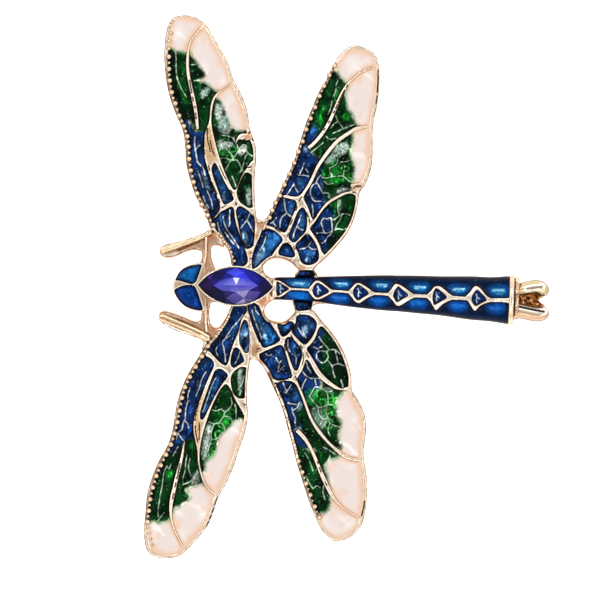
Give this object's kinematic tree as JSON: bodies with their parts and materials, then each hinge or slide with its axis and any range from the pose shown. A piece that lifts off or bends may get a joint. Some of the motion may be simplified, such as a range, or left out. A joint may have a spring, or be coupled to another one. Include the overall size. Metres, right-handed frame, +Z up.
{
  "type": "insect brooch",
  "caption": "Dragonfly brooch with four drooping enamelled wings, a long ribbed tail and one navette stone, with a pin and catch on its back.",
  "frame": {"origin": "middle of the plan outline, on the surface that the wing tips rest on", "axes": "+X from head to tail, +Y to the insect's right wings, +Z up out of the enamelled face"},
  "size_m": [0.0514, 0.0708, 0.0082],
  "materials": {
    "metal": "polished, pale rose gold plate",
    "blue enamel": "glossy translucent enamel",
    "green enamel": "glossy translucent enamel",
    "shaded enamel": "glossy enamel running from blue or green into pale pink",
    "stone": "faceted, foiled behind"
  },
  "bodies": {
    "root": {"casting": "metal", "thorax_stone": "stone", "right_eye_enamel": "blue enamel", "left_eye_enamel": "blue enamel", "right_fore_strip_enamel": "shaded enamel", "right_fore_fan_enamel": "shaded enamel", "right_fore_sliver_enamel": "blue enamel", "right_fore_green_enamel": "green enamel", "right_fore_blue_enamel": "blue enamel", "right_fore_root_enamel": "blue enamel", "left_fore_strip_enamel": "shaded enamel", "left_fore_fan_enamel": "shaded enamel", "left_fore_sliver_enamel": "blue enamel", "left_fore_green_enamel": "green enamel", "left_fore_blue_enamel": "blue enamel", "left_fore_notch_enamel": "blue enamel", "left_fore_root_enamel": "blue enamel", "right_hind_strip_enamel": "shaded enamel", "right_hind_fan_enamel": "shaded enamel", "right_hind_green_enamel": "green enamel", "right_hind_lead_enamel": "blue enamel", "right_hind_root_enamel": "blue enamel", "right_hind_petal_enamel": "blue enamel", "right_hind_drop_enamel": "blue enamel", "right_hind_heel_enamel": "blue enamel", "left_hind_strip_enamel": "shaded enamel", "left_hind_fan_enamel": "shaded enamel", "left_hind_green_enamel": "green enamel", "left_hind_lead_enamel": "blue enamel", "left_hind_root_enamel": "blue enamel", "left_hind_petal_enamel": "blue enamel", "left_hind_drop_enamel": "blue enamel", "left_hind_heel_enamel": "blue enamel", "right_tab_enamel": "blue enamel", "left_tab_enamel": "blue enamel", "right_tail_enamel": "blue enamel", "left_tail_enamel": "blue enamel", "tail_diamond_1_enamel": "blue enamel", "tail_diamond_2_enamel": "blue enamel", "tail_diamond_3_enamel": "blue enamel", "tail_diamond_4_enamel": "blue enamel", "tail_diamond_5_enamel": "blue enamel", "tail_diamond_6_enamel": "blue enamel", "pin_back": "metal"}
  },
  "joints": []
}
